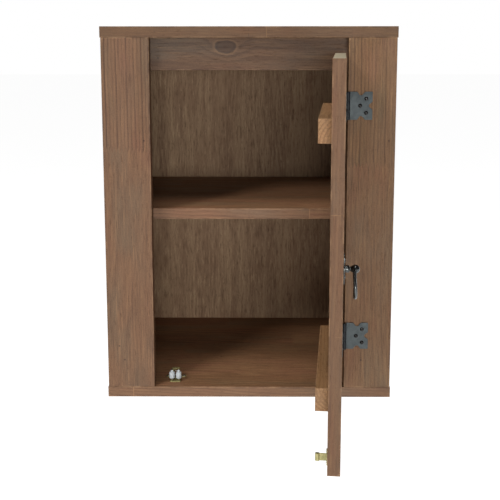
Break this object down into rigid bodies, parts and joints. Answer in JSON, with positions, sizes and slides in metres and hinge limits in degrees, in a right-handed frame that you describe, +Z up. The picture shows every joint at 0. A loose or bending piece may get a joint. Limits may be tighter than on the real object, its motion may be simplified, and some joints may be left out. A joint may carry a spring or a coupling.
{
  "type": "hanging wall cabinet",
  "caption": "Small wooden cabinet that hangs on a wall, with a face frame, a shelf, and an inset door on butterfly hinges with a drop-ring pull and a roller catch.",
  "frame": {"origin": "middle of the two wall screw holes, on the plane of the wall behind the cabinet", "axes": "+Z up, +Y towards the wall, so the front faces -Y; +X to the right when looking at the front, where the door's hinges are"},
  "size_m": [0.4, 0.5892, 0.52],
  "materials": {
    "stained_wood": "satin brown stain on finger-jointed wood",
    "plywood": "satin brown stain on plywood",
    "batten_wood": "satin honey-brown stain",
    "dowel_wood": "bare beech",
    "hinge_steel": "dull blue-grey, aged",
    "dark_screw": "browned steel",
    "pull_metal": "polished dark metal",
    "zinc_yellow": "yellow zinc plate",
    "bright_steel": "bright zinc plate",
    "nylon": "white nylon"
  },
  "bodies": {
    "carcass": {"top_board": "stained_wood", "bottom_board": "stained_wood", "left_side_panel": "stained_wood", "right_side_panel": "stained_wood", "left_stile": "stained_wood", "right_stile": "stained_wood", "top_rail": "stained_wood", "shelf": "stained_wood", "back_panel": "plywood", "hanging_rail": "stained_wood", "side_panel_dowels": "dowel_wood", "stile_dowels": "dowel_wood", "top_rail_dowels": "dowel_wood", "hanging_rail_dowels": "dowel_wood", "shelf_dowels": "dowel_wood", "back_panel_nails": "bright_steel", "upper_hinge_frame_leaf": "hinge_steel", "lower_hinge_frame_leaf": "hinge_steel", "frame_leaf_screws": "dark_screw", "upper_hinge_pin": "hinge_steel", "lower_hinge_pin": "hinge_steel", "catch_base": "zinc_yellow", "catch_strap": "zinc_yellow", "catch_rivets": "bright_steel", "catch_screws": "bright_steel", "catch_spring": "bright_steel"},
    "door": {"door_panel": "stained_wood", "upper_batten": "batten_wood", "lower_batten": "batten_wood", "batten_screws": "dark_screw", "upper_hinge_door_leaf": "hinge_steel", "lower_hinge_door_leaf": "hinge_steel", "door_leaf_screws": "dark_screw", "pull_backplate": "pull_metal", "pull_post": "pull_metal", "pull_screws": "pull_metal", "strike": "zinc_yellow", "strike_screws": "bright_steel"},
    "pull_ring": {"pull_ring": "pull_metal"},
    "left_arm": {"left_roller_arm": "zinc_yellow", "left_roller_pin": "bright_steel"},
    "right_arm": {"right_roller_arm": "zinc_yellow", "right_roller_pin": "bright_steel"},
    "left_roller": {"left_roller": "nylon"},
    "right_roller": {"right_roller": "nylon"}
  },
  "joints": [
    {"name": "door_swing", "type": "hinge", "parent": "carcass", "child": "door", "pos_m": [0.1334, -0.325, 0], "axis": [0, 0, 1], "range_deg": [-84.5, 90]},
    {"name": "pull_ring_swing", "type": "hinge", "parent": "door", "child": "pull_ring", "pos_m": [0.12066, -0.56267, -0.2295], "axis": [-0.0958, -0.9954, 0], "range_deg": [-18, 198]},
    {"name": "left_arm_swing", "type": "hinge", "parent": "carcass", "child": "left_arm", "pos_m": [-0.1104, -0.288, -0.46], "axis": [0, 0, -1], "range_deg": [0, 10], "stiffness_Nm_per_rad": 0.1, "springref_deg": -2.86, "deforming": ["catch_spring"]},
    {"name": "right_arm_swing", "type": "hinge", "parent": "carcass", "child": "right_arm", "pos_m": [-0.1024, -0.288, -0.46], "axis": [0, 0, 1], "range_deg": [0, 10], "stiffness_Nm_per_rad": 0.1, "springref_deg": -2.86, "deforming": ["catch_spring"]},
    {"name": "left_roller_spin", "type": "hinge", "parent": "left_arm", "child": "left_roller", "pos_m": [-0.1112, -0.3, -0.455], "axis": [0, 0, 1], "continuous": true},
    {"name": "right_roller_spin", "type": "hinge", "parent": "right_arm", "child": "right_roller", "pos_m": [-0.1016, -0.3, -0.455], "axis": [0, 0, 1], "continuous": true}
  ]
}
